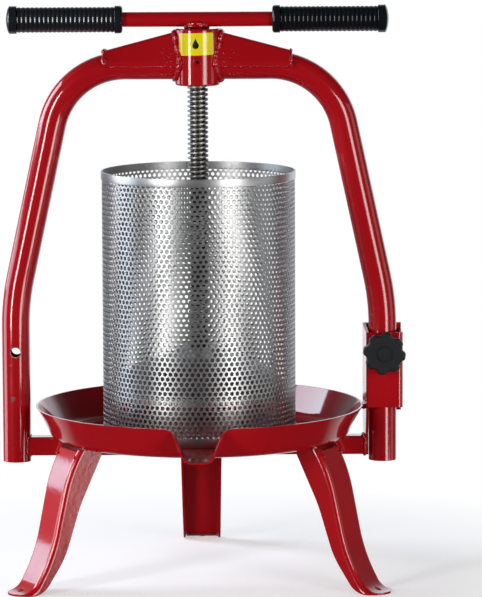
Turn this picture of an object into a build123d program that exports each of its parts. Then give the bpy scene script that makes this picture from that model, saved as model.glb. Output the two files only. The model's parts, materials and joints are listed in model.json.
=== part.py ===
from build123d import *
from math import hypot
import os

# A screw fruit press: three pressed legs carry a juice tray, a tube arch stands over it on a crossbar,
# and a screw through the arch drives a plate down into a perforated basket.
# Millimetres. The origin is on the floor under the screw's axis, +Z is up and -Y is the front.

# Fits and gaps
WELD_GAP = 0.1          # between welded pieces whose faces are curved
RUN_GAP = 0.08          # radial play of a screw or journal in its bore
SEAT_GAP = 0.3          # between pieces that lie on each other and can be parted
HOLE_GAP = 0.4          # radial play of a stud in a drilled hole

# Legs, pressed from sheet into channels
LEG_NAMES = ("rear_leg", "front_left_leg", "front_right_leg")
LEG_HEIGHT = 151.0      # floor to the underside of the tray
LEG_SHEET = 2.5
LEG_TOE_SHEET = 2.3     # pressed a little thinner
LEG_TOP_WIDTH = 47.2
LEG_TOE_WIDTH = 41.5
LEG_INSET = 0.5         # web's top inside the edge of the tray's floor
LEG_SLOT = 2.0          # open slot between the web's top edge and the tray
LEG_KNEE_DROP = 20.5    # the four straights of the web meet at a knee, an ankle and a toe bend
LEG_KNEE_FLARE = 13.5
LEG_ANKLE_FLARE = 20.5
LEG_ANKLE_Z = 40.0
LEG_TOE_FLARE = 21.8
LEG_TOE_LENGTH = 17.3
LEG_KNEE_BEND = 150.0
LEG_ANKLE_BEND = 160.0
LEG_TOE_BEND = 20.0
LEG_EDGE_R = 5.5        # outer rounding between web and flanges
FLANGE_TOP_DEPTH = 28.6
FLANGE_KNEE_DEPTH = 13.4
FLANGE_KNEE_Z = 92.0
FLANGE_ANKLE_DEPTH = 16.3
FLANGE_ANKLE_Z = 38.0
FLANGE_HEEL_DEPTH = 11.9
FLANGE_KNEE_BEND = 150.0
FLANGE_ANKLE_BEND = 100.0
FLANGE_HEEL_BEND = 24.0
TOE_HOLE_D = 7.0
TOE_HOLE_FROM_TIP = 13.5

# Tray
TRAY_RIM_R = 175.5
TRAY_FLOOR_R = 158.0
TRAY_DEPTH = 34.0
TRAY_SHEET = 2.0
TRAY_CORNER_R = 12.0
SPOUT_SHOULDER = 26.6   # half width of the spout at the rim
SPOUT_LIP = 13.0        # half width of the flat lip
SPOUT_REACH = 18.5      # lip beyond the rim
SPOUT_LIP_BEND = 11.0
SPOUT_SHOULDER_BEND = 17.0

# Crossbar of square tube
CROSSBAR_SIZE = 20.0
CROSSBAR_WALL = 2.0
CROSSBAR_EDGE_R = 3.0

# Arch of round tube
TUBE_D = 30.0
TUBE_WALL = 2.0
ARCH_SIDE_GAP = 20.7    # tray rim to the axis of an arch leg
ARCH_LEAN = 54.6        # how far each leg leans in at its shoulder
ARCH_HEIGHT = 398.0     # tray underside to the axis of the top run
ARCH_KNEE_HEIGHT = 146.0
ARCH_OVERHANG = 6.5     # legs reach below the crossbar
KNEE_BEND = 250.0
SHOULDER_BEND = 79.0
PIN_HOLE_D = 10.0       # cross hole in each arch leg

# Hub and gussets
HUB_D = 48.0
HUB_HEIGHT = 60.5
HUB_BELOW_TUBE = 6.0
HUB_EDGE_R = 2.0
OIL_HOLE_D = 3.8
OIL_SINK_D = 9.0
OIL_SINK_DEPTH = 2.0
OIL_HOLE_HEIGHT = 25.6  # above the hub's lower face
GUSSET_SHEET = 2.5
GUSSET_REACH = 98.5     # from the screw's axis
GUSSET_EAVE = 4.5       # upright cheeks above the tube's axis
GUSSET_END_RISE = 1.5   # ridge above the tube, at its outer end
GUSSET_HUB_RISE = 27.3  # and carried on to the screw's axis
GUSSET_END_RIDGE = 9.5  # half width of the ridge, at its outer end
GUSSET_HUB_RIDGE = 5.0  # and at the screw's axis
GUSSET_EDGE_R = 5.0

# Screw and handle
SPINDLE_D = 22.0
SPINDLE_LENGTH = 380.4  # lower end to the underside of the bar
SPINDLE_SADDLE = 3.0    # the screw's top reaches this far up the bar's sides
GROOVE_D = 17.0
GROOVE_WIDTH = 8.0
GROOVE_HEIGHT = 13.0    # above the screw's lower end
BAR_D = 16.0
BAR_OVER_HUB = 1.4
HANDLE_LENGTH = 406.6
GRIP_LENGTH = 124.0
GRIP_D = 27.4
GRIP_COLLAR_D = 29.6
GRIP_COLLAR = 8.5
GRIP_EDGE_R = 3.0       # rounding of the inner collar
GRIP_DOME = 3.2
GRIP_END = 6.0          # rubber beyond the bar's end, dome included

# Basket
BASKET_D = 206.0
BASKET_HEIGHT = 284.0
BASKET_SHEET = 1.0
TOP_BAND_HEIGHT = 8.6
BOTTOM_BAND_HEIGHT = 10.5
BAND_SHEET = 0.8
SLOT_COLUMNS = 24       # a coarse grid of slots stands for the fine perforation
SLOT_ROWS = 4
SLOT_WIDTH = 5.0
SLOT_BRIDGE = 10.0      # sheet left between two slots of a column

# Press plate and its socket
PLATE_GAP = 6.0         # radial, to the basket
PLATE_SHEET = 3.0
PLATE_SKIRT = 8.0
PLATE_SHOULDER_R = 5.0
PLATE_RISE = 40.0       # skirt's lower edge to the top of the dome at the socket
PLATE_CROWN = 9.0       # how far the dome swells above a plain cone
SOCKET_D = 48.0
SOCKET_HEIGHT = 44.0
SOCKET_FLOOR = 6.0
SOCKET_ABOVE_PLATE = 10.7
SCREW_D = 6.0
SCREW_HEAD_D = 10.0
SCREW_HEAD = 4.0

# Lock of the right arch leg
BRACKET_SKEW = 2.0      # the bracket is welded on a little turned, degrees
BRACKET_SHEET = 3.0
BRACKET_TOP = 119.5     # heights above the tray's underside
BRACKET_TOP_DROP = 6.5
BRACKET_WAIST = 36.0
BRACKET_NECK = 4.0
BRACKET_EDGE_R = 4.0
BRACKET_FLARE = 2.4     # the side wall stands this far out at its rear
COVER_WIDTH = 38.0
COVER_HEIGHT = 81.0
COVER_BASE = 32.0
COVER_SIDE_GAP = 3.0
COVER_BEND_R = 5.0
LOCK_HEIGHT = 92.4
STUD_D = 10.0
STUD_LENGTH = 60.0
NUT_FLATS = 17.0
NUT_HEIGHT = 8.0
STUD_PAST_NUT = 1.5
KNOB_D = 45.0
KNOB_LOBES = 8
KNOB_NOTCH_D = 12.0
KNOB_NOTCH_REACH = 25.5  # axis to a notch's centre
KNOB_HEAD = 14.0
KNOB_EDGE_R = 2.0
KNOB_LOBE_R = 1.5
KNOB_TURN = 8.0         # star turned clockwise, degrees
KNOB_BOSS_D = 22.0
KNOB_BOSS = 6.0
KNOB_CAP_D = 18.0
KNOB_CAP = 1.0

# Places worked out from the sizes
BASE_Z = LEG_HEIGHT
FLOOR_Z = BASE_Z + TRAY_SHEET
RIM_Z = BASE_Z + TRAY_DEPTH
CROSSBAR_Z = BASE_Z - CROSSBAR_SIZE
TUBE_R = TUBE_D / 2
ARCH_X = TRAY_RIM_R + ARCH_SIDE_GAP
ARCH_TOP_Z = BASE_Z + ARCH_HEIGHT
TUBE_TOP_Z = ARCH_TOP_Z + TUBE_R
HUB_R = HUB_D / 2
HUB_Z = ARCH_TOP_Z - TUBE_R - HUB_BELOW_TUBE
SPINDLE_R = SPINDLE_D / 2
BAR_R = BAR_D / 2
BAR_Z = HUB_Z + HUB_HEIGHT + BAR_OVER_HUB + BAR_R
SPINDLE_Z = BAR_Z - BAR_R - SPINDLE_LENGTH
GROOVE_Z = SPINDLE_Z + GROOVE_HEIGHT
SOCKET_R = SOCKET_D / 2
SOCKET_Z = SPINDLE_Z - SEAT_GAP - SOCKET_FLOOR
PLATE_TOP_Z = SOCKET_Z + SOCKET_HEIGHT - SOCKET_ABOVE_PLATE
PLATE_Z = PLATE_TOP_Z - PLATE_RISE
BASKET_R = BASKET_D / 2
PLATE_R = BASKET_R - BASKET_SHEET - PLATE_GAP
LOCK_Z = BASE_Z + LOCK_HEIGHT
BRACKET_INNER = TUBE_R + SEAT_GAP
BRACKET_OUTER = BRACKET_INNER + BRACKET_SHEET
COVER_BACK = BRACKET_INNER - SEAT_GAP
COVER_SIDE = TUBE_R + COVER_SIDE_GAP + BRACKET_SHEET
LOCK = Pos(ARCH_X, 0, 0) * Rot(0, 0, BRACKET_SKEW)
REAR_AZIMUTH = 90       # degrees; the legs follow counter-clockwise

FAR = 300.0             # longer than any cut needs


def drum(radius, low, high):
    """Upright cylinder on the screw's axis."""
    return Pos(0, 0, low) * Cylinder(radius, high - low, align=(Align.CENTER, Align.CENTER, Align.MIN))


def ring(outer, inner, low, high):
    """Upright ring on the screw's axis."""
    return drum(outer, low, high) - drum(inner, low, high)


def rod_y(radius, front, back, x=0.0, z=0.0):
    """Cylinder along Y."""
    plane = Plane(origin=(x, front, z), x_dir=(1, 0, 0), z_dir=(0, 1, 0))
    return extrude(plane * Circle(radius), amount=back - front)


def rod_x(radius, left, right, z=0.0):
    """Cylinder along X."""
    plane = Plane(origin=(left, 0, z), x_dir=(0, 1, 0), z_dir=(1, 0, 0))
    return extrude(plane * Circle(radius), amount=right - left)


def block(low, high):
    """Box between two corners."""
    size = [b - a for a, b in zip(low, high)]
    return Pos(*low) * Box(*size, align=(Align.MIN, Align.MIN, Align.MIN))


def outline(points):
    """Face inside a closed run of straight lines."""
    return make_face(Polyline(*points, close=True))


def parallel(points, distance):
    """Corners of a run of straight lines moved sideways, to its left for a positive distance."""
    lines = []
    for (ax, ay), (bx, by) in zip(points, points[1:]):
        length = hypot(bx - ax, by - ay)
        ux, uy = (bx - ax) / length, (by - ay) / length
        lines.append((ax - uy * distance, ay + ux * distance, ux, uy))
    moved = [lines[0][:2]]
    for (px, py, ux, uy), (qx, qy, vx, vy) in zip(lines, lines[1:]):
        along = ((qx - px) * vy - (qy - py) * vx) / (ux * vy - uy * vx)
        moved.append((px + ux * along, py + uy * along))
    end_x, end_y = points[-1]
    ux, uy = lines[-1][2:]
    return moved + [(end_x - uy * distance, end_y + ux * distance)]


def arch_sweep(radius, side):
    """Solid bar along one half of the arch, from its foot to the screw's axis."""
    corners = [
        (side * ARCH_X, CROSSBAR_Z - ARCH_OVERHANG),
        (side * ARCH_X, BASE_Z + ARCH_KNEE_HEIGHT),
        (side * (ARCH_X - ARCH_LEAN), ARCH_TOP_Z),
        (0.0, ARCH_TOP_Z),
    ]
    path = Plane.XZ * FilletPolyline(*corners, radius=[KNEE_BEND, SHOULDER_BEND])
    start = Plane(origin=path @ 0, z_dir=path % 0)
    return sweep(start * Circle(radius), path=path)


def arch_tube(side):
    """One bent tube, coped to the hub and cross-drilled through its leg."""
    tube = arch_sweep(TUBE_R, side) - arch_sweep(TUBE_R - TUBE_WALL, side)
    tube -= drum(HUB_R + WELD_GAP, ARCH_TOP_Z - TUBE_D, ARCH_TOP_Z + TUBE_D)
    hole = rod_y(PIN_HOLE_D / 2 + HOLE_GAP, -TUBE_D, TUBE_D, z=LOCK_Z)
    if side < 0:
        return tube - Pos(-ARCH_X, 0, 0) * hole
    return tube - LOCK * hole


def gusset(side):
    """Folded roof over the tube beside the hub: upright cheeks, sides that lean in and a rising ridge."""
    cheek = TUBE_R + WELD_GAP + GUSSET_SHEET
    eave = ARCH_TOP_Z + GUSSET_EAVE

    def section(x, ridge, rise, inset, bottom):
        """Outline across the tube, moved in by the inset."""
        top = TUBE_TOP_Z + rise - inset
        half = [(cheek - inset, bottom), (cheek - inset, eave), (ridge - inset, top)]
        corners = half + [(-y, z) for y, z in reversed(half)]
        return Plane(origin=(x, 0, 0), x_dir=(0, 1, 0), z_dir=(1, 0, 0)) * outline(corners)

    def roof(inset, bottom):
        middle = section(0.0, GUSSET_HUB_RIDGE, GUSSET_HUB_RISE, inset, bottom)
        end = section(GUSSET_REACH, GUSSET_END_RIDGE, GUSSET_END_RISE, inset, bottom)
        return loft([middle, end], ruled=True)

    skin = roof(0.0, ARCH_TOP_Z)
    lengthwise = skin.edges().filter_by(lambda e: e.bounding_box().size.X > GUSSET_REACH / 2)
    skin = fillet(lengthwise.filter_by(lambda e: e.center().Z > ARCH_TOP_Z + WELD_GAP), GUSSET_EDGE_R)
    skin -= roof(GUSSET_SHEET, ARCH_TOP_Z - TUBE_D)
    skin -= drum(HUB_R + WELD_GAP, ARCH_TOP_Z - TUBE_D, TUBE_TOP_Z + TUBE_D)
    skin -= arch_sweep(TUBE_R + WELD_GAP, 1)
    return skin if side > 0 else mirror(skin, Plane.YZ)


def spindle_hub():
    """Thick sleeve that the screw runs in, with a countersunk oil hole in front."""
    hub = drum(HUB_R, HUB_Z, HUB_Z + HUB_HEIGHT)
    hub = fillet(hub.edges().filter_by(GeomType.CIRCLE), HUB_EDGE_R)
    hub -= drum(SPINDLE_R + RUN_GAP, HUB_Z, HUB_Z + HUB_HEIGHT)
    oil_z = HUB_Z + OIL_HOLE_HEIGHT
    sink = Plane(origin=(0, -HUB_R, oil_z), x_dir=(1, 0, 0), z_dir=(0, 1, 0))
    cone = Cone(OIL_SINK_D / 2, OIL_HOLE_D / 2, OIL_SINK_DEPTH, align=(Align.CENTER, Align.CENTER, Align.MIN))
    return hub - rod_y(OIL_HOLE_D / 2, -HUB_D, 0.0, z=oil_z) - sink * cone


def wall_x(front_x, y):
    """Place of the bracket's flared side wall at y, for the face that stands at front_x in front."""
    return front_x - BRACKET_FLARE * (y + BRACKET_INNER) / (BRACKET_INNER + BRACKET_OUTER)


def crossbar():
    """Square tube under the tray, coped to the left arch leg and mitred to the lock's bracket."""
    bore = CROSSBAR_SIZE - 2 * CROSSBAR_WALL
    section = RectangleRounded(CROSSBAR_SIZE, CROSSBAR_SIZE, CROSSBAR_EDGE_R)
    section -= RectangleRounded(bore, bore, CROSSBAR_EDGE_R - CROSSBAR_WALL)
    middle = CROSSBAR_Z + CROSSBAR_SIZE / 2
    left_end = Plane(origin=(-ARCH_X, 0, middle), x_dir=(0, 1, 0), z_dir=(1, 0, 0))
    bar = extrude(left_end * section, amount=2 * ARCH_X)
    bar -= Pos(-ARCH_X, 0, 0) * drum(TUBE_R + WELD_GAP, 0.0, FAR)
    wall = [(wall_x(-BRACKET_OUTER, y), y) for y in (-TUBE_D, TUBE_D)]
    past_wall = outline(wall + [(FAR, TUBE_D), (FAR, -TUBE_D)])
    return bar - LOCK * extrude(past_wall, amount=FAR)


def leg(azimuth):
    """Pressed channel leg: a web that sweeps out into a flat toe, and two flanges that fade into it."""
    top_r = TRAY_FLOOR_R - LEG_INSET
    knee_r = top_r + LEG_KNEE_FLARE
    ankle_r = knee_r + LEG_ANKLE_FLARE
    bend_r = ankle_r + LEG_TOE_FLARE
    tip_r = bend_r + LEG_TOE_LENGTH
    knee_z = BASE_Z - LEG_KNEE_DROP
    web = [
        (top_r - LEG_KNEE_FLARE, BASE_Z + LEG_KNEE_DROP),
        (knee_r, knee_z),
        (ankle_r, LEG_ANKLE_Z),
        (bend_r, LEG_TOE_SHEET),
        (tip_r, LEG_TOE_SHEET),
    ]
    flange = [
        (tip_r, 0.0),
        (bend_r - FLANGE_HEEL_DEPTH, 0.0),
        (ankle_r - FLANGE_ANKLE_DEPTH, FLANGE_ANKLE_Z),
        (knee_r - FLANGE_KNEE_DEPTH, FLANGE_KNEE_Z),
        (top_r - FLANGE_TOP_DEPTH, BASE_Z),
    ]

    def behind(corners, bends):
        """Line down the web through its corners, and the face of all that lies behind it."""
        line = FilletPolyline(*corners, radius=bends)
        rest = [corners[-1], (tip_r, -FAR), (0.0, -FAR), (0.0, FAR), (corners[0][0], FAR), corners[0]]
        return line, make_face(line + Polyline(*rest))

    def taper(inset):
        """Slab seen from the front, narrower at the toe, that trims both flanges."""
        slope = (LEG_TOP_WIDTH - LEG_TOE_WIDTH) / 2 / BASE_Z
        halves = [LEG_TOE_WIDTH / 2 - inset + slope * z for z in (-FAR, FAR)]
        corners = [(-halves[0], -FAR), (halves[0], -FAR), (halves[1], FAR), (-halves[1], FAR)]
        return extrude(Plane.YZ * outline(corners), amount=FAR)

    def pressed(line, view, inset, radius):
        """Side view made solid, trimmed by the taper and rounded along a face of the web."""
        solid = extrude(Plane.XZ * view, amount=LEG_TOP_WIDTH, both=True) & taper(inset)

        def on_line(found):
            middle = found @ 0.5
            return line.distance_to(Vertex(middle.X, middle.Z, 0)) < WELD_GAP

        return fillet(solid.edges().filter_by(Axis.Y, reverse=True).filter_by(on_line), radius)

    outer = behind(web, [LEG_KNEE_BEND, LEG_ANKLE_BEND, LEG_TOE_BEND])
    inner_bends = [LEG_KNEE_BEND - LEG_SHEET, LEG_ANKLE_BEND + LEG_SHEET, LEG_TOE_BEND + LEG_SHEET]
    inner = behind(parallel(web, -LEG_SHEET), inner_bends)
    channel = pressed(*outer, 0.0, LEG_EDGE_R) - pressed(*inner, LEG_SHEET, LEG_EDGE_R - LEG_SHEET)
    edge = FilletPolyline(*flange, radius=[FLANGE_HEEL_BEND, FLANGE_ANKLE_BEND, FLANGE_KNEE_BEND])
    trimmed = make_face(edge + Polyline(flange[-1], (tip_r, BASE_Z), flange[0]))
    channel &= extrude(Plane.XZ * trimmed, amount=LEG_TOP_WIDTH, both=True)
    toe_r = LEG_TOE_WIDTH / 2
    plan = Pos(tip_r - toe_r, 0) * Circle(toe_r)
    plan += Pos((tip_r - toe_r) / 2, 0) * Rectangle(tip_r - toe_r, LEG_TOP_WIDTH)
    channel &= extrude(plan, amount=FAR, both=True)
    slot = LEG_TOP_WIDTH / 2 - LEG_EDGE_R
    channel -= block((top_r - LEG_TOP_WIDTH / 2, -slot, BASE_Z - LEG_SLOT), (tip_r, slot, BASE_Z))
    hole = Pos(tip_r - TOE_HOLE_FROM_TIP, 0, 0) * Cylinder(TOE_HOLE_D / 2, LEG_ANKLE_Z)
    return Rot(0, 0, azimuth) * (channel - hole)


def tray():
    """Round dish with a sloping wall and a drawn spout at the front."""

    def dish(inset, top):
        """The dish filled solid, moved in from its outer skin by the inset."""
        wall = [(0.0, BASE_Z), (TRAY_FLOOR_R, BASE_Z), (TRAY_RIM_R, RIM_Z)]
        line = parallel(wall, inset)
        (fx, fz), (rx, rz) = line[1:]
        reach = fx + (rx - fx) * (top - fz) / (rz - fz)
        skin = FilletPolyline((0.0, fz), (fx, fz), (reach, top), radius=[TRAY_CORNER_R + TRAY_SHEET - inset])
        rest = Polyline((reach, top), (0.0, top), (0.0, fz))
        return revolve(Plane.XZ * make_face(skin + rest), Axis.Z)

    side = [(-SPOUT_LIP, FLOOR_Z), (SPOUT_LIP, FLOOR_Z), (SPOUT_SHOULDER, RIM_Z)]
    (_, low), (lip, _), (shoulder, high) = parallel(side, -TRAY_SHEET)
    brow = lip + (shoulder - lip) * (RIM_Z - low) / (high - low)
    bend = SPOUT_LIP_BEND + TRAY_SHEET
    belly = FilletPolyline((-brow, RIM_Z), (-lip, low), (lip, low), (brow, RIM_Z), radius=[bend, bend])
    trough = extrude(Plane.XZ * make_face(belly + Line((brow, RIM_Z), (-brow, RIM_Z))), amount=FAR)
    shoulder_y = -((TRAY_RIM_R ** 2 - SPOUT_SHOULDER ** 2) ** 0.5)
    lip_y = -(TRAY_RIM_R + SPOUT_REACH)
    face = [(0.0, RIM_Z), (shoulder_y, RIM_Z), (lip_y, FLOOR_Z), (lip_y, 0.0), (0.0, 0.0)]
    trough &= extrude(Plane.YZ * outline(face), amount=FAR, both=True)

    mouth = FilletPolyline(
        (-TRAY_RIM_R, RIM_Z), (-SPOUT_SHOULDER, RIM_Z), (-SPOUT_LIP, FLOOR_Z),
        (SPOUT_LIP, FLOOR_Z), (SPOUT_SHOULDER, RIM_Z), (TRAY_RIM_R, RIM_Z),
        radius=[SPOUT_SHOULDER_BEND, SPOUT_LIP_BEND, SPOUT_LIP_BEND, SPOUT_SHOULDER_BEND],
    )
    over = Polyline((TRAY_RIM_R, RIM_Z), (TRAY_RIM_R, FAR), (-TRAY_RIM_R, FAR), (-TRAY_RIM_R, RIM_Z))
    notch = extrude(Plane.XZ * make_face(mouth + over), amount=FAR)
    return dish(0.0, RIM_Z) + trough - dish(TRAY_SHEET, FAR) - notch


def spindle():
    """The screw as a plain bar over its crests, with the groove that its socket's screws run in."""
    bar = drum(SPINDLE_R, SPINDLE_Z, BAR_Z - BAR_R + SPINDLE_SADDLE)
    bar -= ring(SPINDLE_D, GROOVE_D / 2, GROOVE_Z, GROOVE_Z + GROOVE_WIDTH)
    return bar - rod_x(BAR_R + WELD_GAP, -SPINDLE_D, SPINDLE_D, BAR_Z)


def handle_bar():
    """Round bar across the top of the screw; its ends stop inside the grips."""
    half = HANDLE_LENGTH / 2 - GRIP_END
    return rod_x(BAR_R, -half, half, BAR_Z)


def grip(side):
    """Rubber grip with a collar at each end and a domed closed end."""
    tip = HANDLE_LENGTH / 2
    inner = tip - GRIP_LENGTH
    outer = tip - GRIP_DOME
    body = GRIP_D / 2
    collar = GRIP_COLLAR_D / 2
    bore = BAR_R + WELD_GAP
    bore_end = tip - GRIP_END
    low = Polyline((bore_end, 0), (bore_end, bore), (inner, bore), (inner, collar - GRIP_EDGE_R))
    low += RadiusArc((inner, collar - GRIP_EDGE_R), (inner + GRIP_EDGE_R, collar), GRIP_EDGE_R)
    low += Line((inner + GRIP_EDGE_R, collar), (inner + GRIP_COLLAR, collar))
    top = Polyline(
        (inner + GRIP_COLLAR, collar), (inner + GRIP_COLLAR, body), (outer - GRIP_COLLAR, body),
        (outer - GRIP_COLLAR, collar), (outer, collar),
    )
    ball = (collar ** 2 + GRIP_DOME ** 2) / (2 * GRIP_DOME)
    dome = RadiusArc((outer, collar), (tip, 0), ball)
    half_view = make_face(low + top + dome + Line((tip, 0), (bore_end, 0)))
    rubber = Pos(0, 0, BAR_Z) * revolve(Plane.XZ * half_view, Axis.X)
    return rubber if side > 0 else mirror(rubber, Plane.YZ)


def press_plate():
    """Pressed dish: a short skirt that clears the basket, and a dome that rises to the socket."""
    hole = SOCKET_R + WELD_GAP
    shoulder_z = PLATE_Z + PLATE_SKIRT

    def half_dome(inset, foot):
        """Half section of the dish, filled down to a level."""
        rim = PLATE_R - inset
        eave = (rim, shoulder_z)
        brow = (rim - PLATE_SHOULDER_R, shoulder_z + PLATE_SHOULDER_R)
        crown = (hole, PLATE_TOP_Z - inset)
        middle = ((brow[0] + crown[0]) / 2, (brow[1] + crown[1]) / 2 + PLATE_CROWN)
        edge = Polyline((hole, foot), (rim, foot), eave, brow) + ThreePointArc(brow, middle, crown)
        return make_face(edge + Line(crown, (hole, foot)))

    skin = revolve(Plane.XZ * half_dome(0.0, PLATE_Z), Axis.Z)
    return skin - revolve(Plane.XZ * half_dome(PLATE_SHEET, PLATE_Z - PLATE_SHEET), Axis.Z)


def plate_socket():
    """Blind socket that the lower end of the screw turns in, cross-drilled for its two screws."""
    socket = drum(SOCKET_R, SOCKET_Z, SOCKET_Z + SOCKET_HEIGHT)
    socket -= drum(SPINDLE_R + RUN_GAP, SOCKET_Z + SOCKET_FLOOR, SOCKET_Z + SOCKET_HEIGHT)
    return socket - rod_x(SCREW_D / 2 + WELD_GAP, -SOCKET_D, SOCKET_D, GROOVE_Z + GROOVE_WIDTH / 2)


def socket_screws():
    """Two screws through the socket whose tips hold the screw by its groove."""
    z = GROOVE_Z + GROOVE_WIDTH / 2
    tip = GROOVE_D / 2 + SEAT_GAP
    shank = rod_x(SCREW_D / 2, tip, SOCKET_R, z)
    head = rod_x(SCREW_HEAD_D / 2, SOCKET_R, SOCKET_R + SCREW_HEAD, z)
    screw = shank + head - drum(SOCKET_R, z - SOCKET_D, z + SOCKET_D) + shank
    return Compound([screw, mirror(screw, Plane.YZ)])


def arch_bracket():
    """Folded side wall and back plate beside the right arch leg; the wall's neck ends the crossbar."""
    half = CROSSBAR_SIZE / 2
    top = BASE_Z + BRACKET_TOP
    waist = BASE_Z + BRACKET_WAIST
    wall_view = [
        (BRACKET_OUTER, top),
        (-BRACKET_INNER, top - BRACKET_TOP_DROP),
        (-BRACKET_INNER, waist),
        (-half, BASE_Z + BRACKET_NECK),
        (-half, CROSSBAR_Z),
        (half, CROSSBAR_Z),
        (half, BASE_Z + BRACKET_NECK),
        (BRACKET_OUTER, waist),
    ]
    plan = [
        (-BRACKET_OUTER, -BRACKET_INNER), (-BRACKET_INNER, -BRACKET_INNER),
        (wall_x(-BRACKET_INNER, BRACKET_INNER), BRACKET_INNER), (COVER_SIDE, BRACKET_INNER),
        (COVER_SIDE, BRACKET_OUTER), (wall_x(-BRACKET_OUTER, BRACKET_OUTER), BRACKET_OUTER),
    ]
    folded = outline(plan)
    folded = fillet(folded.vertices().sort_by(lambda v: v.X - v.Y)[0], BRACKET_EDGE_R)
    sheet = extrude(folded, amount=FAR) & extrude(Plane.YZ * outline(wall_view), amount=FAR, both=True)
    sheet -= rod_y(STUD_D / 2 + HOLE_GAP, 0.0, FAR, z=LOCK_Z)
    return LOCK * sheet


def lock_cover():
    """Bent front plate that holds the tube in its bracket; the fold goes round the tube's outer side."""
    low = BASE_Z + COVER_BASE
    left = COVER_SIDE - COVER_WIDTH
    front = -COVER_BACK - BRACKET_SHEET
    rear = BRACKET_INNER - SEAT_GAP
    inner_side = COVER_SIDE - BRACKET_SHEET
    plan = [
        (left, front), (COVER_SIDE, front), (COVER_SIDE, rear),
        (inner_side, rear), (inner_side, -COVER_BACK), (left, -COVER_BACK),
    ]
    plate = Pos(0, -SEAT_GAP, low) * extrude(outline(plan), amount=COVER_HEIGHT)
    folds = plate.edges().filter_by(Axis.Z).sort_by(lambda e: e.center().Y - e.center().X)
    plate = fillet(folds[0], COVER_BEND_R)
    return LOCK * (plate - rod_y(STUD_D / 2 + HOLE_GAP, -FAR, 0.0, z=LOCK_Z))


def knob_back():
    """Where the knob's boss meets the cover, along the stud."""
    return -COVER_BACK - BRACKET_SHEET - 2 * SEAT_GAP


def stud_ends():
    """Front and rear end of the stud, along its axis."""
    rear = BRACKET_OUTER + NUT_HEIGHT + STUD_PAST_NUT
    return rear - STUD_LENGTH, rear


def lock_knob():
    """Star knob with a boss behind, a raised cap in front and a blind hole for its stud."""
    star = Circle(KNOB_D / 2)
    start = 180 / KNOB_LOBES - KNOB_TURN
    star -= PolarLocations(KNOB_NOTCH_REACH, KNOB_LOBES, start) * Circle(KNOB_NOTCH_D / 2)
    head = extrude(fillet(star.vertices(), KNOB_LOBE_R), amount=KNOB_HEAD)
    head = fillet(head.edges().group_by(Axis.Z)[0] + head.edges().group_by(Axis.Z)[-1], KNOB_EDGE_R)
    cap = drum(KNOB_CAP_D / 2, KNOB_HEAD, KNOB_HEAD + KNOB_CAP)
    boss = drum(KNOB_BOSS_D / 2, -KNOB_BOSS, 0.0)
    front = knob_back() - KNOB_BOSS
    seat = Plane(origin=(0, front, LOCK_Z), x_dir=(1, 0, 0), z_dir=(0, -1, 0))
    return LOCK * (seat * (head + cap + boss) - rod_y(STUD_D / 2 + WELD_GAP, stud_ends()[0], 0.0, z=LOCK_Z))


def lock_stud():
    """Threaded stud of the knob, over its crests."""
    front, rear = stud_ends()
    return LOCK * rod_y(STUD_D / 2, front, rear, z=LOCK_Z)


def lock_nut():
    """Hexagon nut welded behind the bracket."""
    plane = Plane(origin=(0, BRACKET_OUTER, LOCK_Z), x_dir=(1, 0, 0), z_dir=(0, 1, 0))
    hexagon = RegularPolygon(NUT_FLATS / 2, 6, major_radius=False) - Circle(STUD_D / 2 + RUN_GAP)
    return LOCK * extrude(plane * hexagon, amount=NUT_HEIGHT)


def basket_wall():
    """Sheet rolled into a drum, opened by a coarse grid of upright slots between its two bands."""
    top_z = FLOOR_Z + BASKET_HEIGHT
    low = FLOOR_Z + BOTTOM_BAND_HEIGHT
    cell = (top_z - TOP_BAND_HEIGHT - low) / SLOT_ROWS
    slots = []
    for row in range(SLOT_ROWS):
        foot = low + cell * row + SLOT_BRIDGE / 2
        head = foot + cell - SLOT_BRIDGE
        across = block((-BASKET_D, -SLOT_WIDTH / 2, foot), (BASKET_D, SLOT_WIDTH / 2, head))
        slots += [Rot(0, 0, column * 360 / SLOT_COLUMNS) * across for column in range(SLOT_COLUMNS // 2)]
    return ring(BASKET_R, BASKET_R - BASKET_SHEET, FLOOR_Z, top_z) - slots


def band(low, height):
    """Plain strip round the outside of the basket."""
    inner = BASKET_R + WELD_GAP
    return ring(inner + BAND_SHEET, inner, low, low + height)


PARTS = {
    "arch_left_tube": arch_tube(-1),
    "arch_right_tube": arch_tube(1),
    "left_gusset": gusset(-1),
    "right_gusset": gusset(1),
    "spindle_hub": spindle_hub(),
    "crossbar": crossbar(),
    "tray": tray(),
    "arch_bracket": arch_bracket(),
    "lock_nut": lock_nut(),
    "lock_cover": lock_cover(),
    "lock_knob": lock_knob(),
    "lock_stud": lock_stud(),
    "spindle": spindle(),
    "handle_bar": handle_bar(),
    "left_grip": grip(-1),
    "right_grip": grip(1),
    "press_plate": press_plate(),
    "plate_socket": plate_socket(),
    "socket_screws": socket_screws(),
    "basket_wall": basket_wall(),
    "basket_top_band": band(FLOOR_Z + BASKET_HEIGHT - TOP_BAND_HEIGHT, TOP_BAND_HEIGHT),
    "basket_bottom_band": band(FLOOR_Z, BOTTOM_BAND_HEIGHT),
}
for turn, name in enumerate(LEG_NAMES):
    PARTS[name] = leg(REAR_AZIMUTH + turn * 360 / len(LEG_NAMES))

os.makedirs("parts", exist_ok=True)
for name, solid in PARTS.items():
    export_step(solid, f"parts/{name}.step")
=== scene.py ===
"""Dresses the screw fruit press for its picture: fine forms, finishes, floor, light and camera.

Lengths are in metres, with Z up and the camera on the side of -Y.
"""

import json
from math import asin, ceil, cos, pi, radians, sin, sqrt, tau

import bpy
from mathutils import Matrix, Vector, noise as perlin
from mathutils.bvhtree import BVHTree


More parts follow.
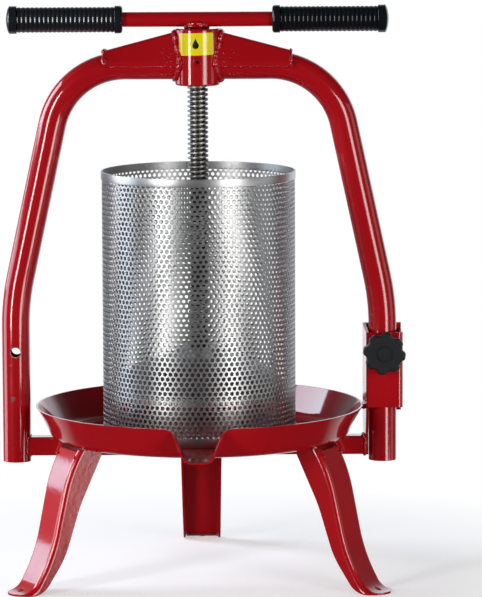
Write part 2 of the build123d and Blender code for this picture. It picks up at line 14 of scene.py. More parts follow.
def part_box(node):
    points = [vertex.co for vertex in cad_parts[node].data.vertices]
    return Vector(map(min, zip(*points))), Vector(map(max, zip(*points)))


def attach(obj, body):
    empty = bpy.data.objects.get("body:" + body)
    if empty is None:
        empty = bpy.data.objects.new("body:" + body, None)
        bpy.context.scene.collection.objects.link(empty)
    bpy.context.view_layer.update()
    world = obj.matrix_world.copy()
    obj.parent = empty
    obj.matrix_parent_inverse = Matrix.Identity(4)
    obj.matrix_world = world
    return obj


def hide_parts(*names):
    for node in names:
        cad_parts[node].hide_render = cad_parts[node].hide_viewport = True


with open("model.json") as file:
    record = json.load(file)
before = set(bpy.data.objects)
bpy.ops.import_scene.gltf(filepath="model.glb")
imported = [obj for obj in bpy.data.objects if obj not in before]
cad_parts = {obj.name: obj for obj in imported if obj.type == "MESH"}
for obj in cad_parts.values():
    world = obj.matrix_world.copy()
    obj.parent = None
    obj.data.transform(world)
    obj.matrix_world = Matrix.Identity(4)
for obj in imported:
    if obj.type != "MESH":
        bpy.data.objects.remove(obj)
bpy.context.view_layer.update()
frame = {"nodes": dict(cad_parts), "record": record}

MM = 0.001

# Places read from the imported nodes
hub_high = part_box("spindle_hub")[1]
HUB_R = hub_high.x
tube_low, tube_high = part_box("arch_left_tube")
TUBE_R = tube_high.y
ARCH_Z = tube_high.z - TUBE_R
ARCH_X = -tube_low.x - TUBE_R
gusset_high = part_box("right_gusset")[1]
basket_low, basket_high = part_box("basket_wall")
BASKET_R = basket_high.x
top_band_low, top_band_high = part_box("basket_top_band")
foot_band_low, foot_band_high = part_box("basket_bottom_band")
spindle_low, spindle_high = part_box("spindle")
SCREW_R = spindle_high.x
bar_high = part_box("handle_bar")[1]
BAR_R = bar_high.y
BAR_Z = bar_high.z - BAR_R
crossbar_low, crossbar_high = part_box("crossbar")
tray_low, tray_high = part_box("tray")
grip_low, grip_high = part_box("right_grip")
rear_leg_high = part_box("rear_leg")[1]
JOINTS = {row["name"]: row for row in frame["record"]["behaviour"]["joints"]}
LOCK_PLACE = Vector(JOINTS["lock_knob_turn"]["pos_m"])
LOCK_AXIS = Vector(JOINTS["lock_knob_turn"]["axis"])

# Legs, at even turns about Z from the first
LEGS = ("rear_leg", "front_left_leg", "front_right_leg")
FIRST_LEG_TURN = radians(90)

# Perforated basket
BASKET_SHEET = 1.0 * MM
HOLES_ROUND = 108
HOLE_ROWS = 52
HOLE_R = 2.0 * MM
HOLE_LEAD = 0.35 * MM           # bevel at the mouth of each hole
FIRST_HOLES_Z = 163.7 * MM
HOLE_SECTORS = 6
BAND_GAP = 0.1 * MM
BAND_EDGE_R = 0.35 * MM
LAP_START = radians(94)         # the ends of the rim's band lap at the rear
LAP_END = radians(102)

# Threads of the screw and the stud; the shares of the pitch are root, flank and crest
SCREW_ROOT_R = 8.25 * MM
SCREW_PITCH = 5.0 * MM
SCREW_SHARES = (0.34, 0.147, 0.366)
STUD_R = 5.0 * MM
STUD_ROOT_R = 4.1 * MM
STUD_PITCH = 1.5 * MM
STUD_SHARES = (0.15, 0.36, 0.13)
STUD_REAR = -27.8 * MM          # along the lock's axis
STUD_FRONT = 32.2 * MM
THREAD_STEPS = 48
END_RING = 0.02                 # height of the ring that carries each end's cap, in pitches

# Grips
GRIP_R = 13.7 * MM
GRIP_GAP = 0.1 * MM             # between the bar and the grip's bore
GRIP_COLLAR = 8.5 * MM
GRIP_EDGE_R = 3.0 * MM
GRIP_STEP_R = 0.6 * MM
GRIP_DOME = 3.2 * MM
GRIP_RIBS = 22
GRIP_PADS_ROUND = 16
GRIP_SWELL = 0.52 * MM          # each rib swells by this between its two ends
GRIP_GROOVE = 0.25 * MM         # grooves along the grip
GRIP_GROOVE_SHARE = 0.14
PAD_COLUMNS = 12
RIB_STEPS = 10
DOME_STEPS = 8
VALLEY_POWER = 2                # a higher power narrows the valleys between the ribs

# Label on the hub
LABEL_WIDTH = 41.0 * MM
LABEL_HEIGHT = 23.6 * MM
LABEL_CORNER = 2.0 * MM
LABEL_Z = 572.7 * MM
LABEL_ASIDE = -1.8 * MM         # the label sits a little left of the middle
LABEL_TILT = radians(1.5)
LABEL_THICKNESS = 0.2 * MM
DROP_R = 3.4 * MM
DROP_HEIGHT = 11.0 * MM
DROP_DOWN = 1.5 * MM            # the middle of the drop's round part lies below the label's middle
DROP_PULL_POWER = 3             # a higher power makes a shorter tip
DROP_NARROWING = 0.75           # share of the width that is gone at the tip
DROP_LIFT = 0.05 * MM
DROP_RINGS = (1.0, 0.66, 0.33, 0.02)

# Lip of the oil hole in the hub: radius and height
OIL_HOLE_Z = 553.6 * MM
OIL_PORT = ((4.9 * MM, -0.1 * MM), (4.5 * MM, 0.85 * MM), (4.1 * MM, 0.85 * MM),
            (2.6 * MM, 0.06 * MM), (2.0 * MM, 0.04 * MM))
PORT_STEPS = 40

# Form of every weld bead; lengths are in radii of the bead
BEAD_STEP = 0.4
RIPPLE = 0.12
RIPPLE_TURN = 1.7               # radians a step
LUMPS = 0.45
LUMP_LENGTH = 1.8
GRAIN = 0.25
GRAIN_LENGTH = 0.7
DRIFT = 0.3
DRIFT_LENGTH = 4.0
TAPER_STEPS = 4                 # an open bead tapers over so many steps
TAPER_LEAST = 0.05              # square of the share of its width left at the tip

# Form of every blob of weld
BLOB_CAP = 0.02                 # share of the half turn that the flat cap at each pole takes
BLOB_SWELL = 0.3
BLOB_WAVES = 1.7
WELD_CREASE = 70

# Weld round the tube and gusset at the hub; a line sunk lies under the surface by so much
HUB_BEAD_R = 3.2 * MM
HUB_BEAD_OUT = 1.0 * MM
UNDER_TUBE = range(6, 90, 12)   # degrees from the bottom of the tube
CHEEK_SUNK = 0.6 * MM
CHEEK_FOOT = 1.0 * MM           # above the tube's axis
GUSSET_EAVE = 4.5 * MM          # upright part of the gusset's cheek
ROOF_OUT = 2.0 * MM             # a point on the gusset's roof, out from its ridge and down
ROOF_DOWN = 6.0 * MM
RIDGE_HALF = 6.0 * MM           # half width of the gusset's ridge at the hub
RIDGE_IN = 1.0 * MM
RIDGE_SUNK = 0.8 * MM

# Welds over the gussets' outer ends and along their lower edges
END_RIDGE_HALF = 9.0 * MM       # half width of the gusset's ridge at its outer end
END_FOOT = 2.0 * MM             # below the tube's axis
END_BEAD_OUT = 0.4 * MM
END_BEAD_LIFT = 0.2 * MM
RIGHT_END_BEAD_R = 1.6 * MM
LEFT_END_BEAD_R = 2.5 * MM
SEAM_R = 1.0 * MM
SEAM_OUT = 1.2 * MM
SEAM_DOWN = 0.2 * MM
SEAM_IN = 2.0 * MM              # the seam starts inside the hub
SEAM_SHORT = 2.5 * MM           # and stops short of the gusset's end

# Drops of weld beside the hub
SPATTER = 16                    # on each side
SPATTER_NEAR = 3.0 * MM         # from the hub
SPATTER_WIDTH = 14.0 * MM
SPATTER_DOWN = 13.0 * MM        # below the tube's axis
SPATTER_HEIGHT = 32.0 * MM
SPATTER_R = 0.7 * MM
SPATTER_MORE_R = 0.7 * MM       # the largest drop has so much more
SPATTER_STEPS = (0.755, 0.570, 0.734)  # shares of width, height and size from drop to drop
SPATTER_FROM_Y = -0.1           # the drops are cast from here, in front of the arch

# Welds of the crossbar, the tray and the legs
CROSSBAR_EDGE_R = 3.0 * MM
LEFT_BEAD_R = 1.5 * MM
LEFT_BEAD_OUT = 0.8 * MM
RIGHT_BEAD_R = 1.4 * MM
RIGHT_BEAD_OUT = 0.4 * MM
SECTION_INSET = 0.9             # the bracket's wall is found from just inside the crossbar's section
BAR_TACK = (2.6 * MM, 4.0 * MM, 2.4 * MM)
BAR_TACK_IN = 2.0 * MM
TRAY_TACK = (3.4 * MM, 5.0 * MM, 3.0 * MM)
TRAY_TACK_PLACE = (0.4 * MM, -7.0 * MM, -2.0 * MM)  # from the right end of the tray's rim
LEG_TACK = (2.6 * MM, 2.6 * MM, 1.6 * MM)
LEG_TACK_IN = 4.0 * MM

# Weld of the handle bar: a loop round the screw's end that climbs the bar, with a blob in front
HANDLE_STEPS = 48
HANDLE_BEAD_R = 2.8 * MM
HANDLE_LOOP_X = 11.0 * MM
HANDLE_LOOP_Y = 8.4 * MM
HANDLE_CLIMB = 3.6 * MM
HANDLE_ASIDE = -1.2 * MM
HANDLE_BLOB = (9.5 * MM, 5.0 * MM, 2.6 * MM)
HANDLE_BLOB_Y = -6.5 * MM
HANDLE_BLOB_LIFT = 1.2 * MM

# Camera of the photograph
CAMERA_PLACE = (0.0450, -4.4847, 0.8684)
CAMERA_PITCH = radians(7.2368)
CAMERA_ROLL = radians(-0.26)
CAMERA_LENS = 254.77
CAMERA_FAR = 50

# Floor
FLOOR_R = 0.55
FLOOR_PIN_R = 0.002             # the disc is open by this much in its middle
FLOOR_STEPS = 96
FLOOR_FADE = 0.26
FLOOR_LIFT = 0.45
# painted reflection: the floor behind the press glows for reflected rays only, standing for a bright wall
FLOOR_GLOW = 0.8                # how bright reflections see the floor behind the press
GLOW_BACK = (0.04, 0.16)        # that glow grows between these two backward from the middle
GLOW_AWAY = (0.24, 0.32)        # and between these two outward

# Room that light and reflections see, by the part of a direction that points to the rear
ROOM_REAR = (0.5, 0.75)
ROOM_LEVELS = (0.03, 0.35)
WALL_REAR = (0.80, 0.90)
WALL_LEAN = 0.22                # the white wall reaches further round on the right

# Colours
WHITE = (1.0, 1.0, 1.0, 1.0)
RED = (0.450, 0.0038, 0.0085, 1.0)
RED_DEEP = (0.395, 0.0032, 0.0072, 1.0)
CHIP_GREY = (0.17, 0.11, 0.09, 1.0)
STEEL = (0.500, 0.500, 0.495, 1.0)
STEEL_DIM = (0.450, 0.450, 0.450, 1.0)
SHEET = (0.405, 0.405, 0.400, 1.0)
SHEET_DIM = (0.365, 0.365, 0.365, 1.0)
SCREW_BRIGHT = (0.28, 0.28, 0.27, 1.0)
OIL_DARK = (0.03, 0.027, 0.022, 1.0)
OIL_BROWN = (0.07, 0.065, 0.055, 1.0)
PLATE_GREY = (0.42, 0.42, 0.42, 1.0)
PLATE_DARK = (0.26, 0.26, 0.27, 1.0)
ZINC = (0.66, 0.65, 0.62, 1.0)
ZINC_DARK = (0.48, 0.48, 0.48, 1.0)
RUBBER = (0.011, 0.0125, 0.015, 1.0)
RUBBER_DARK = (0.008, 0.009, 0.011, 1.0)
PLASTIC = (0.012, 0.0135, 0.0145, 1.0)
PLASTIC_DARK = (0.008, 0.009, 0.010, 1.0)
# painted shade for a ring on the knob's face, at the edge of its cap
PAINTED_RING_SHADE = (0.002, 0.002, 0.002, 1.0)
YELLOW = (0.96, 0.79, 0.002, 1.0)
YELLOW_DEEP = (0.90, 0.71, 0.002, 1.0)
INK = (0.012, 0.012, 0.012, 1.0)
INK_DEEP = (0.006, 0.006, 0.006, 1.0)
FLOOR_PALE = (0.9, 0.9, 0.9, 1.0)
FLOOR_BOUNCE = (0.60, 0.60, 0.60, 1.0)
WALL_TINT = (0.90, 0.94, 1.0)
PLAIN = (1.0, 1.0, 1.0)
LAVENDER = (0.78, 0.87, 1.0)
SKY = (0.55, 0.84, 1.0)

# Noises and edges in the finishes; waves are counted in a metre
CLOUD_RANGE = (0.3, 0.7)        # most of a noise's values lie between these
PEEL_WAVES = 260.0
DENT_WAVES = 42.0
CHIP_WAVES = 700.0
CHIP_CORE = 0.3                 # share of a chip's radius that is bare inside its ragged edge
CHIP_FADE = 0.6 * MM
COAT_HAZE = 0.07
COAT_EDGE_R = 0.7 * MM
# ring of painted shade on the knob's face: its radius about the lock's axis, and where it fades
KNOB_RING_R = 7.7 * MM
KNOB_RING_EDGE = (0.4 * MM, 1.0 * MM)  # the ring fades out between these, from its middle

# Lamps: degrees to the right of the camera's side, distance, foot, head, width, radiance and tint
LAMPS = {
    "key_left": (-41, 2.8, -0.08, 1.5, 0.46, 19.0, PLAIN),
    "key_left_broad": (-47, 2.8, -0.08, 2.3, 2.00, 4.0, PLAIN),
    "wash_left": (-60, 2.6, 0.4, 1.4, 0.80, 8.0, PLAIN),
    "fill_right": (38, 2.8, -0.5, 1.3, 0.70, 4.9, PLAIN),
    "fill_halo": (38, 2.9, -0.5, 1.3, 1.20, 2.5, PLAIN),
    "panel_right": (86, 2.8, -0.5, 1.5, 1.20, 0.8, PLAIN),
    "low_right": (61, 2.8, -0.8, -0.31, 0.60, 4.2, PLAIN),
    "panel_left": (-101.5, 2.6, 0.75, 2.4, 1.44, 8.5, LAVENDER),
    "panel_left_low": (-98, 2.6, -0.3, 0.6, 1.40, 3.6, LAVENDER),
    "kicker_left": (-120, 2.6, 0.31, 0.85, 0.55, 5.0, SKY),
}


# Meshes

def piece(name, points, faces, material, body, slot=None, stands_for=(), crease=40):
    """A mesh that rides on a body, smooth but for edges sharper than the crease in degrees."""
    mesh = bpy.data.meshes.new(name)
    mesh.from_pydata(points, [], faces)
    mesh.materials.append(material)
    mesh.shade_smooth()
    mesh.set_sharp_from_angle(angle=radians(crease))
    made = bpy.data.objects.new(name, mesh)
    bpy.context.scene.collection.objects.link(made)
    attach(made, body)
    if stands_for:
        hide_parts(*stands_for)
    return made


def grid(rows, round_rows=True, round_all=False, caps=False):
    """Points and faces of a skin over rows of points.

    round_rows closes each row on itself, round_all joins the last row to the first, caps close both ends.
    """
    width = len(rows[0])
    points = [point for row in rows for point in row]
    faces = []
    for i in range(len(rows) if round_all else len(rows) - 1):
        here = i * width
        there = (i + 1) % len(rows) * width
        for j in range(width if round_rows else width - 1):
            after = (j + 1) % width
            faces.append((here + j, here + after, there + after, there + j))
    if caps:
        faces.append(tuple(reversed(range(width))))
        faces.append(tuple(range(len(points) - width, len(points))))
    return points, faces


def merged(skins):
    """Several (points, faces) as one."""
    all_points, all_faces = [], []
    for points, faces in skins:
        start = len(all_points)
        all_points += points
        all_faces += [tuple(start + corner for corner in face) for face in faces]
    return all_points, all_faces


def moved(skin, place):
    """Points and faces with the points put through a matrix."""
    points, faces = skin
    return [tuple(place @ Vector(point)) for point in points], faces


def smooth_step(value):
    """0 below 0, 1 above 1 and a smooth rise between them."""
    value = min(max(value, 0.0), 1.0)
    return value * value * (3 - 2 * value)


def turned(profile, steps=144):
    """Rows of points for a profile of (radius, height) turned about Z."""
    angles = [tau * k / steps for k in range(steps)]
    return [[(r * cos(a), r * sin(a), z) for a in angles] for r, z in profile]


def rounded_section(inner, outer, low, high, edge, corner_steps=3):
    """(radius, height) points round a band's section with rounded edges."""
    corners = ((outer - edge, low + edge, -90), (outer - edge, high - edge, 0),
               (inner + edge, high - edge, 90), (inner + edge, low + edge, 180))
    section = []
    for r, z, start in corners:
        for k in range(corner_steps + 1):
            angle = radians(start + 90 * k / corner_steps)
            section.append((r + edge * cos(angle), z + edge * sin(angle)))
    return section


def band(inner, outer, low, high):
    """A whole ring of band."""
    return grid(turned(rounded_section(inner, outer, low, high, BAND_EDGE_R)), round_all=True)


def lap(inner, outer, low, high, start, end, steps=12):
    """A short stretch of band between two angles."""
    section = rounded_section(inner, outer, low, high, BAND_EDGE_R)
    rows = []
    for k in range(steps + 1):
        angle = start + (end - start) * k / steps
        rows.append([(r * cos(angle), r * sin(angle), z) for r, z in section])
    return grid(rows, caps=True)


def perforated_sheet(radius, sheet, low, high, first_row, rows):
    """A cylinder of sheet pierced all over by holes in staggered rows, joined in hexagonal cells."""
    half_step = pi / HOLES_ROUND
    row_pitch = radius * 2 * half_step * sqrt(3) / 2
    front = -pi / 2 - half_step
    width = 2 * HOLES_ROUND
    sides = 2 * HOLE_SECTORS
    points, faces = [], []

    def at(angle, z, r):
        points.append((r * cos(angle), r * sin(angle), z))
        return len(points) - 1

    def zigzag(row, r):
        """The line of cell corners below a row."""
        middle = first_row + (row - 0.5) * row_pitch
        swing = row_pitch / 6
        return [at(front + k * half_step, middle + (-swing if (k - row) % 2 == 0 else swing), r)
                for k in range(width)]

    def strip(lower, upper, outward):
        for k in range(width):
            after = (k + 1) % width
            quad = (lower[k], lower[after], upper[after], upper[k])
            faces.append(quad if outward else quad[::-1])

    sheets = []
    for r, outward in ((radius, True), (radius - sheet, False)):
        lines = [zigzag(row, r) for row in range(rows + 1)]
        foot = [at(front + k * half_step, low, r) for k in range(width)]
        head = [at(front + k * half_step, high, r) for k in range(width)]
        strip(foot, lines[0], outward)
        strip(lines[-1], head, outward)
        sheets.append((lines, foot, head))
    (outer_lines, outer_foot, outer_head), (inner_lines, inner_foot, inner_head) = sheets
    strip(inner_foot, outer_foot, True)
    strip(outer_head, inner_head, True)

    skins = ((outer_lines, HOLE_R + HOLE_LEAD, radius, True),
             (inner_lines, HOLE_R, radius - sheet, False))
    throat_r = radius - HOLE_LEAD
    turns = [radians(-30 + 360 * m / sides) for m in range(sides)]
    for row in range(rows):
        z = first_row + row * row_pitch
        for i in range(HOLES_ROUND):
            k = 2 * i + row % 2
            angle = front + k * half_step
            cell = [((k + 1) % width, 0), ((k + 1) % width, 1), (k % width, 1),
                    ((k - 1) % width, 1), ((k - 1) % width, 0), (k % width, 0)]
            rims = []
            for lines, reach, r, outward in skins:
                rim = [at(angle + reach * cos(t) / radius, z + reach * sin(t), r) for t in turns]
                corners = [lines[row + up][column] for column, up in cell]
                for s in range(HOLE_SECTORS):
                    a, b, c = (rim[(2 * s + m) % sides] for m in range(3))
                    face = (corners[s], corners[(s + 1) % HOLE_SECTORS], c, b, a)
                    faces.append(face if outward else face[::-1])
                rims.append(rim)
            throat = [at(angle + HOLE_R * cos(t) / radius, z + HOLE_R * sin(t), throat_r) for t in turns]
            for mouth, end in ((rims[0], throat), (throat, rims[1])):
                for m in range(sides):
                    after = (m + 1) % sides
                    faces.append((mouth[m], mouth[after], end[after], end[m]))
    return points, faces


def threaded_rod(crest, root, pitch, shares, low, high):
    """A right-hand thread standing on Z, plain at its root radius for one turn at each end."""
    root_share, flank_share, crest_share = shares
    stops = (0.0, root_share, root_share + flank_share, root_share + flank_share + crest_share)
    radii = (root, root, crest, crest)
    turns = ceil((high - low) / pitch) + 1
    rows = []
    for turn in range(-1, turns):
        for stop, r in zip(stops, radii):
            row = []
            for k in range(THREAD_STEPS + 1):
                angle = tau * k / THREAD_STEPS
                z = low + (turn + stop + k / THREAD_STEPS) * pitch
                plain = z < low + pitch or z > high - pitch
                here = root if plain else r
                row.append((here * cos(angle), here * sin(angle), min(max(z, low), high)))
            rows.append(row)
    points, faces = grid(rows, round_rows=False)
    faces = [face for face in faces if len({points[corner][2] for corner in face}) > 1]
    ring = END_RING * pitch
    ends = [grid(turned([(root, foot), (root, foot + ring)], THREAD_STEPS), caps=True)
            for foot in (low, high - ring)]
    return merged([(points, faces), *ends])


def arc(z, r, edge, first, last, steps=5):
    """(z, radius) points of an arc about a centre, between two angles in degrees."""
    angles = [radians(first + (last - first) * k / steps) for k in range(steps + 1)]
    return [(z + edge * cos(a), r + edge * sin(a)) for a in angles]


def grip_skin(length, bore):
    """A grip along Z from its open end: collars, swelling ribs cut into rows of pads, and a domed end."""
    collar = grip_high.y
    start = GRIP_COLLAR
    end = length - GRIP_DOME - GRIP_COLLAR
    pitch = (end - start) / GRIP_RIBS
    ball = (collar ** 2 + GRIP_DOME ** 2) / (2 * GRIP_DOME)
    reach = asin(collar / ball)

    first_collar = [(0.0, bore)]
    first_collar += arc(GRIP_EDGE_R, collar - GRIP_EDGE_R, GRIP_EDGE_R, 180, 90)
    first_collar += arc(start - GRIP_STEP_R, collar - GRIP_STEP_R, GRIP_STEP_R, 90, 0)
    ribs = []
    for step in range(GRIP_RIBS * RIB_STEPS + 1):
        share = step / RIB_STEPS
        valley = (0.5 + 0.5 * cos(tau * share)) ** VALLEY_POWER
        ribs.append((start + share * pitch, GRIP_R - GRIP_SWELL * valley))
    last_collar = arc(end + GRIP_STEP_R, collar - GRIP_STEP_R, GRIP_STEP_R, 180, 90)
    last_collar += [(length - GRIP_DOME - GRIP_STEP_R, collar)]
    for k in range(1, DOME_STEPS):
        angle = reach * (1 - k / DOME_STEPS)
        last_collar.append((length - ball + ball * cos(angle), ball * sin(angle)))

    rows = []
    half_pad = pi / GRIP_PADS_ROUND
    for part, groove in ((first_collar, 0.0), (ribs, GRIP_GROOVE), (last_collar, 0.0)):
        for z, r in part:
            row = []
            for k in range(GRIP_PADS_ROUND * PAD_COLUMNS):
                angle = tau * k / (GRIP_PADS_ROUND * PAD_COLUMNS)
                from_groove = abs(k / PAD_COLUMNS % 1 - 0.5)
                flat = cos(half_pad) / cos(half_pad * (1 - 2 * from_groove)) if groove else 1.0
                here = r * flat - groove * (1 - smooth_step(from_groove / GRIP_GROOVE_SHARE))
                row.append((here * cos(angle), here * sin(angle), z))
            rows.append(row)
    return grid(rows, caps=True)


def spaced(path, step):
    """Points at even steps along a path of straight runs."""
    found = [Vector(path[0])]
    left = step
    for a, b in zip(path, path[1:]):
        a, b = Vector(a), Vector(b)
        run = (b - a).length
        along = left
        while along <= run:
            found.append(a.lerp(b, along / run))
            along += step
        left = along - run
    return found


def bead(path, radius, closed=False, seed=0.0, sides=12):
    """A lumpy weld bead along a path, swelling, shrinking and wandering by smooth noises."""
    step = BEAD_STEP * radius
    points = spaced(path + path[:1] if closed else path, step)
    if closed and (points[-1] - points[0]).length < step / 2:
        points.pop()
    count = len(points)
    shift = Vector((seed, -seed, seed / 2))
    rows = []
    side = None
    for i, point in enumerate(points):
        before = points[(i - 1) % count] if closed or i else point
        after = points[(i + 1) % count] if closed or i + 1 < count else point
        along = (after - before).normalized()
        if side is None:
            side = along.orthogonal().normalized()
        side = (side - along * side.dot(along)).normalized()
        up = along.cross(side)
        lumps = LUMPS * perlin.noise(point / (LUMP_LENGTH * radius) + shift)
        swell = 1 + RIPPLE * sin(i * RIPPLE_TURN + seed) + lumps
        from_end = min(i, count - 1 - i) / TAPER_STEPS
        if not closed and from_end < 1:
            swell *= sqrt(max(1 - (1 - from_end) ** 2, TAPER_LEAST))
        drift = DRIFT * radius * perlin.noise(point / (DRIFT_LENGTH * radius) - shift)
        row = []
        for k in range(sides):
            angle = tau * k / sides
            way = side * cos(angle) + up * sin(angle)
            grain = 1 + GRAIN * perlin.noise((point + way * radius) / (GRAIN_LENGTH * radius) + shift)
            row.append(tuple(point + side * drift + way * radius * swell * grain))
        rows.append(row)
    return grid(rows, round_all=closed, caps=not closed)


def blob(centre, radii, seed=0.0, rings=10, columns=16):
    """A rounded uneven blob of weld."""
    rows = []
    for i in range(rings + 1):
        tilt = pi * (BLOB_CAP + (1 - 2 * BLOB_CAP) * i / rings) - pi / 2
        row = []
        for k in range(columns):
            angle = tau * k / columns
            way = Vector((cos(angle) * cos(tilt), sin(angle) * cos(tilt), sin(tilt)))
            swell = 1 + BLOB_SWELL * perlin.noise(way * BLOB_WAVES + Vector((seed, seed, 0)))
            row.append(tuple(Vector(centre) + Vector([w * r * swell for w, r in zip(way, radii)])))
        rows.append(row)
    return grid(rows, caps=True)


def square_section(half, middle_z, corner, steps=5):
    """(y, z) points round a square with rounded corners."""
    inner = half - corner
    found = []
    for y, z, start in ((inner, inner, 0), (-inner, inner, 90), (-inner, -inner, 180), (inner, -inner, 270)):
        for k in range(steps + 1):
            angle = radians(start + 90 * k / steps)
            found.append((y + corner * cos(angle), middle_z + z + corner * sin(angle)))
    return found


def skin_of(node):
    """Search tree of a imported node's surface."""
    mesh = frame["nodes"][node].data
    return BVHTree.FromPolygons([v.co for v in mesh.vertices], [p.vertices for p in mesh.polygons])


# Finishes

def joined(tree, value, socket):
    """Gives a socket its value, or joins it to another node's output."""
    if isinstance(value, bpy.types.NodeSocket):
        tree.links.new(value, socket)
    else:
        socket.default_value = value


def add(tree, kind, settings=None, **inputs):
    """A new node; each input is named with _ for a space and is a value or another node's output."""
    made = tree.nodes.new("ShaderNode" + kind)
    for name, value in (settings or {}).items():
        setattr(made, name, value)
    for name, value in inputs.items():
        joined(tree, value, made.inputs[name.replace("_", " ")])
    return made


def maths(tree, operation, first, second=0.0):
    """Result of one operation on one or two numbers."""
    made = add(tree, "Math", {"operation": operation})
    joined(tree, first, made.inputs[0])
    joined(tree, second, made.inputs[1])
    return made.outputs[0]


def vectors(tree, operation, first, second):
    """Node of one operation on two vectors."""
    made = add(tree, "VectorMath", {"operation": operation})
    joined(tree, first, made.inputs[0])
    joined(tree, second, made.inputs[1])
    return made


def length_of(tree, vector):
    """Length of a vector."""
    return add(tree, "VectorMath", {"operation": "LENGTH"}, Vector=vector).outputs["Value"]


def on_object(tree):
    """Place of the shaded point on its object."""
    return add(tree, "TexCoord").outputs["Object"]


def spread(tree, value, low, high, out_low=0.0, out_high=1.0):
    """A value carried from one range to another, held at its ends."""
    made = add(tree, "MapRange", Value=value, From_Min=low, From_Max=high, To_Min=out_low, To_Max=out_high)
    return made.outputs["Result"]


def clouds(tree, waves, detail=2.0, stretch=(1, 1, 1)):
    """Noise fixed to the object, from 0 to 1."""
    mapped = add(tree, "Mapping", Vector=on_object(tree), Scale=stretch).outputs["Vector"]
    return add(tree, "TexNoise", Vector=mapped, Scale=waves, Detail=detail).outputs["Fac"]


def cloudy(tree, waves, detail, low=0.0, high=1.0, stretch=(1, 1, 1)):
    """Clouds that run from a low value to a high one."""
    return spread(tree, clouds(tree, waves, detail, stretch), *CLOUD_RANGE, low, high)


def blend(tree, factor, first, second):
    """One colour over another by a factor."""
    return add(tree, "MixRGB", Fac=factor, Color1=first, Color2=second).outputs["Color"]


def mixed(tree, factor, first, second):
    """One shader over another by a factor."""
    made = add(tree, "MixShader", Fac=factor)
    tree.links.new(first, made.inputs[1])
    tree.links.new(second, made.inputs[2])
    return made.outputs[0]


def near(tree, centre, radius, stretch):
    """1 about a point of the object and 0 past a ragged outline, longer along Z where stretched."""
    squeeze = (1.0, 1.0, 1.0 / stretch)
    squeezed = add(tree, "Mapping", Vector=on_object(tree), Scale=squeeze).outputs["Vector"]
    away = vectors(tree, "DISTANCE", squeezed, [c * s for c, s in zip(centre, squeeze)]).outputs["Value"]
    ragged = maths(tree, "MULTIPLY", clouds(tree, CHIP_WAVES), radius)
    core = CHIP_CORE * radius
    return spread(tree, maths(tree, "SUBTRACT", away, ragged), core, core + CHIP_FADE, 1.0, 0.0)


def finish(name, colour, roughness, metallic=0.0, **constants):
    """A new material with its surface; other inputs of the surface are plain numbers."""
    made = bpy.data.materials.new(name)
    made.use_nodes = True
    tree = made.node_tree
    skin = tree.nodes["Principled BSDF"]
    skin.inputs["Metallic"].default_value = metallic
    for key, value in constants.items():
        skin.inputs[key.replace("_", " ")].default_value = value
    joined(tree, colour(tree), skin.inputs["Base Color"])
    joined(tree, roughness(tree), skin.inputs["Roughness"])
    return made, tree, skin


def bumped(tree, skin, height, depth, edge=0.0):
    """Raises the surface by a height up to a depth, over edges rounded by the radius given."""
    bump = add(tree, "Bump", Height=height, Distance=depth)
    if edge:
        bevel = add(tree, "Bevel", {"samples": 4}, Radius=edge)
        joined(tree, bevel.outputs["Normal"], bump.inputs["Normal"])
    joined(tree, bump.outputs["Normal"], skin.inputs["Normal"])
    joined(tree, bump.outputs["Normal"], skin.inputs["Coat Normal"])


def red_coat(name, peel, chips=(), waves=PEEL_WAVES, dents=0.0, haze=COAT_HAZE):
    """Gloss red powder coat with an orange peel and broad dents of the depths given, and bare chips."""
    def colour(tree):
        patches = spread(tree, clouds(tree, waves=9.0, detail=3.0), low=0.35, high=0.65)
        tone = blend(tree, patches, RED_DEEP, RED)
        for centre, radius, stretch, strength in chips:
            mark = maths(tree, "MULTIPLY", near(tree, centre, radius, stretch), strength)
            tone = blend(tree, mark, tone, CHIP_GREY)
        return tone

    def roughness(tree):
        return cloudy(tree, waves=60.0, detail=3.0, low=0.30, high=0.42)

    made, tree, skin = finish(name, colour, roughness, Specular_IOR_Level=0.04,
                              Coat_Weight=1.0, Coat_IOR=1.6, Coat_Roughness=haze)
    height = clouds(tree, waves, detail=1.0)
    if dents:
        deep = maths(tree, "MULTIPLY", clouds(tree, DENT_WAVES, detail=1.0), dents / peel)
        height = maths(tree, "ADD", height, deep)
    bumped(tree, skin, height, peel, COAT_EDGE_R)
    return made


def stainless(name, light, dark):
    """Satin rolled stainless sheet with faint upright streaks."""
    def colour(tree):
        streaks = clouds(tree, waves=700.0, detail=3.0, stretch=(1, 1, 0.03))
        return blend(tree, streaks, dark, light)

    def roughness(tree):
        return cloudy(tree, waves=400.0, detail=3.0, low=0.33, high=0.41, stretch=(1, 1, 0.05))

    made, tree, skin = finish(name, colour, roughness, metallic=1.0)
    bumped(tree, skin, clouds(tree, waves=60.0, stretch=(1, 1, 0.5)), depth=0.02 * MM)
    return made


def screw_steel():
    """Bright crests and dark oiled roots, told apart by the distance from the axis."""
    def rise(tree):
        apart = add(tree, "SeparateXYZ", Vector=on_object(tree))
        square = maths(tree, "ADD", maths(tree, "POWER", apart.outputs["X"], 2.0),
                       maths(tree, "POWER", apart.outputs["Y"], 2.0))
        return spread(tree, maths(tree, "SQRT", square), SCREW_ROOT_R, SCREW_R)

    def colour(tree):
        oil = blend(tree, clouds(tree, waves=300.0), OIL_DARK, OIL_BROWN)
        return blend(tree, spread(tree, rise(tree), low=0.35, high=0.95), oil, SCREW_BRIGHT)

    def roughness(tree):
        return cloudy(tree, waves=800.0, detail=3.0, low=0.36, high=0.5)

    made, tree, skin = finish("screw_steel", colour, roughness, metallic=1.0)
    bumped(tree, skin, clouds(tree, waves=900.0), depth=0.04 * MM)
    return made


